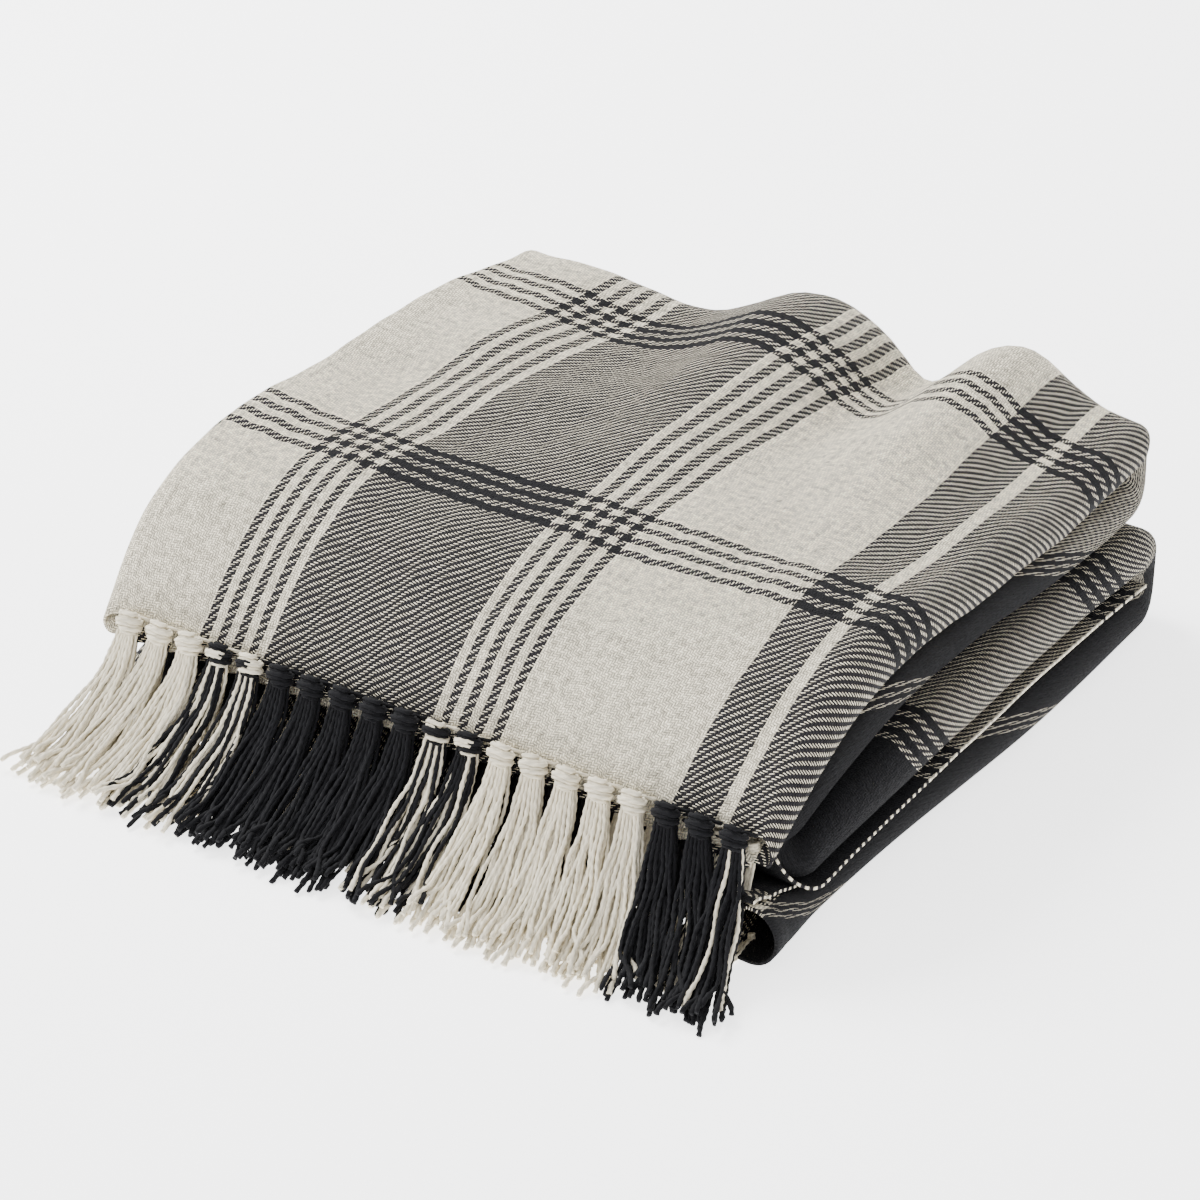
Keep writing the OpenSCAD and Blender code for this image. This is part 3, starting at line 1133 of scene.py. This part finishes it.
@dataclass
class Studio:
    """The floor, the lights and the camera."""

    knot_y: float
    aim_behind_knots: float = 0.1701
    aim_height: float = 0.06
    azimuth: float = math.radians(33.7)
    elevation: float = math.radians(30.1)
    distance: float = 2.79
    view_angle: float = math.radians(14.0)
    slide: Pair = (0.0034, 0.0046)
    sensor: float = 36.0
    half_floor: float = 6.0
    floor_glow: float = 2.4
    air_strength: float = 1.20
    lamps: tuple[Lamp, ...] = (
        Lamp("key", (-1.5, 0.5, 1.9), 1.2, 112.0),
        Lamp("front_fill", (-0.3, -2.4, 1.4), 1.6, 22.0),
    )
    lamp_aim: Triple = (0.0, 0.0, 0.05)

    def build(self) -> None:
        """Makes the floor, the lights and the camera."""
        self.add_floor()
        self.add_lights()
        self.add_camera()

    def add_floor(self) -> None:
        """A wide pale floor."""
        mesh = bpy.data.meshes.new("floor")
        s = self.half_floor
        mesh.from_pydata([(-s, -s, 0), (s, -s, 0), (s, s, 0), (-s, s, 0)], [], [(0, 1, 2, 3)])
        floor = new_object("floor", mesh)
        made, n, shader = new_material("pale_floor")
        place = n.add("ShaderNodeTexCoord")
        cloud = n.grain(place.outputs["Object"], Grain(2.0, 2.0, 1.0))
        n.fill(shader, {
            "Base Color": n.mix(cloud, (0.93, 0.93, 0.94, 1.0), (0.96, 0.96, 0.965, 1.0)),
            "Roughness": 0.8, "Specular IOR Level": 0.1,
            "Emission Color": (1.0, 1.0, 1.0, 1.0), "Emission Strength": self.floor_glow,
        })
        mesh.materials.append(made)

    def add_lights(self) -> None:
        """A broad key light from the upper left, a fill and a pale sky."""
        world = bpy.data.worlds.new("studio_air")
        world.use_nodes = True
        back = world.node_tree.nodes["Background"]
        back.inputs["Color"].default_value = (0.98, 0.985, 1.0, 1.0)
        back.inputs["Strength"].default_value = self.air_strength
        bpy.context.scene.world = world
        for lamp in self.lamps:
            light = bpy.data.lights.new(lamp.name, "AREA")
            light.size = lamp.size
            light.energy = lamp.power
            piece = bpy.data.objects.new(lamp.name, light)
            bpy.context.scene.collection.objects.link(piece)
            piece.location = lamp.at
            towards = Vector(self.lamp_aim) - Vector(lamp.at)
            piece.rotation_euler = towards.to_track_quat("-Z", "Y").to_euler()

    def add_camera(self) -> None:
        """Puts the camera over the front right corner."""
        a, e = self.azimuth, self.elevation
        ahead = Vector((-math.sin(a) * math.cos(e), math.cos(a) * math.cos(e), -math.sin(e)))
        across = Vector((math.cos(a), math.sin(a), 0.0))
        up = across.cross(ahead)
        data = bpy.data.cameras.new("camera")
        data.sensor_width = self.sensor
        data.lens = self.sensor / 2 / math.tan(self.view_angle / 2)
        camera = bpy.data.objects.new("camera", data)
        bpy.context.scene.collection.objects.link(camera)
        aim = Vector((0.0, self.knot_y + self.aim_behind_knots, self.aim_height))
        aim += across * self.slide[0] + up * self.slide[1]
        turn = Matrix((across, up, -ahead)).transposed().to_4x4()
        camera.matrix_world = Matrix.Translation(aim - ahead * self.distance) @ turn
        bpy.context.scene.camera = camera


# ---- putting it together


FRONT_MIXES = (
    [Mix.CREAM] * 3 + [Mix.MIXED] * 2 + [Mix.BLACK] * 5 + [Mix.MIXED] * 2 + [Mix.CREAM] * 5 + [Mix.BLACK] * 3
)
HIDDEN_ROWS = (
    ("upper_fringe_middle_ply", 1, False),
    ("upper_fringe_inner_ply", 2, False),
    ("lower_fringe_outer_ply", 0, True),
    ("lower_fringe_middle_ply", 1, True),
    ("lower_fringe_inner_ply", 2, True),
)


@dataclass
class Throw:
    """The whole throw: its cloth, its front tassels and the fringe behind them."""

    fan_left: float = math.radians(-10.0)
    fan_right: float = math.radians(20.0)
    edge_behind_knots: float = 0.0071
    fold_behind_edge: float = 0.022
    reach_share: float = 0.98

    def build(self) -> None:
        """Builds and dresses every piece."""
        low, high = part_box("woven_panel")
        knots = self.knots()
        edge_y = knots[0][1] + self.edge_behind_knots
        shape = StackShape(low.x, high.x, edge_y, edge_y + self.fold_behind_edge, back_y=high.y)
        finishes = {mix: PliedCotton(mix.value).material() for mix in Mix}
        pieces = self.front(knots, finishes) + self.behind(knots, finishes, shape)
        pitch = knots[1][0] - knots[0][0]
        edge = EdgeYarns(knots, FRONT_MIXES, edge_y, knots[0][2], pitch).build()
        edge.data.materials.append(finishes[Mix.MIXED])
        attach(edge, "panel")
        cloth = FoldedCloth(shape, first_knot=knots[0][0], knot_pitch=pitch)
        cloth.build()
        cloth.dress(pieces + [edge])

    def knots(self) -> list[Array]:
        """The middle of each front knot, from left to right."""
        places = {j["name"]: j["pos_m"] for j in frame["joints"]}
        return [np.array(places[f"tassel_{k:02d}_swing"], float) for k in range(1, len(places) + 1)]

    def front(self, knots: list[Array], finishes: dict[Mix, Material]) -> list[Piece]:
        """Builds and dresses the front tassels."""
        pieces = []
        half = knots[-1][0]
        for k, knot in enumerate(knots, 1):
            low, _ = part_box(f"tassel_{k:02d}")
            share = (knot[0] / half + 1) / 2
            fan = self.fan_left + (self.fan_right - self.fan_left) * share
            reach = (knot[1] - low.y) * self.reach_share
            tassel = Tassel(k, knot, reach, fan, FRONT_MIXES[k - 1])
            piece = tassel.build()
            tassel.dress(piece, finishes[tassel.mix])
            pieces.append(piece)
            log.info("%s: %d faces", piece.name, len(piece.data.polygons))
        return pieces

    def behind(
        self, knots: list[Array], finishes: dict[Mix, Material], shape: StackShape
    ) -> list[Piece]:
        """Builds and dresses the five rows behind the front one."""
        pieces = []
        xs = np.array([k[0] for k in knots])
        for seed, (node, ply, on_floor) in enumerate(HIDDEN_ROWS, 900):
            row = HiddenRow(node, ply, xs, on_floor, shape)
            piece = row.build(seed)
            row.dress(piece, finishes[Mix.MIXED])
            pieces.append(piece)
            log.info("%s: %d faces", piece.name, len(piece.data.polygons))
        return pieces


def main() -> None:
    """Builds the studio and the throw."""
    throw = Throw()
    Studio(knot_y=throw.knots()[0][1]).build()
    throw.build()


if __name__ == "__main__":
    main()
